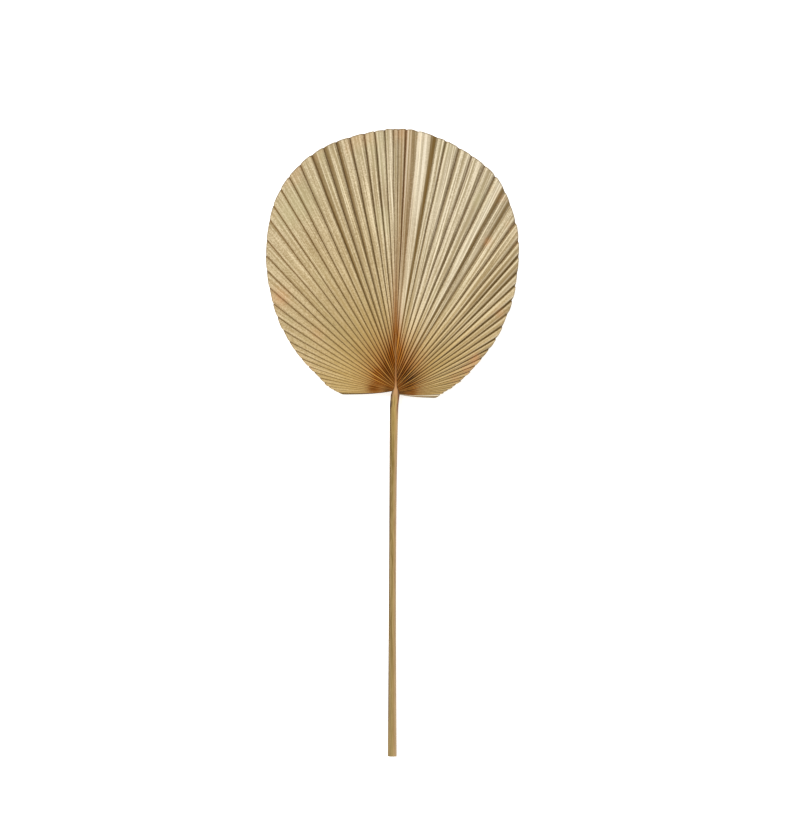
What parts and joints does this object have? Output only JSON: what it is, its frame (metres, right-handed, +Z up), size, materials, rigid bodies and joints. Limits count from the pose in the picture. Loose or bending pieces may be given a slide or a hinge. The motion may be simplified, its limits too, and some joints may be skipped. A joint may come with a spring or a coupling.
{
  "type": "dried fan palm leaf",
  "caption": "Dried fan palm leaf cut with its stalk: a stiff pleated blade trimmed to a round outline on a long straight petiole, lying with its face up.",
  "frame": {"origin": "centre of the leaf's box, on the surface that the leaf lies on", "axes": "+Y from the stalk's cut foot towards the blade's top, +Z up out of the leaf's upper face, +X to the right seen from above"},
  "size_m": [0.407, 1.0018, 0.0242],
  "materials": {
    "dry_blade": "matte",
    "dry_stalk": "matte"
  },
  "bodies": {
    "root": {"blade": "dry_blade", "petiole": "dry_stalk"}
  },
  "joints": []
}
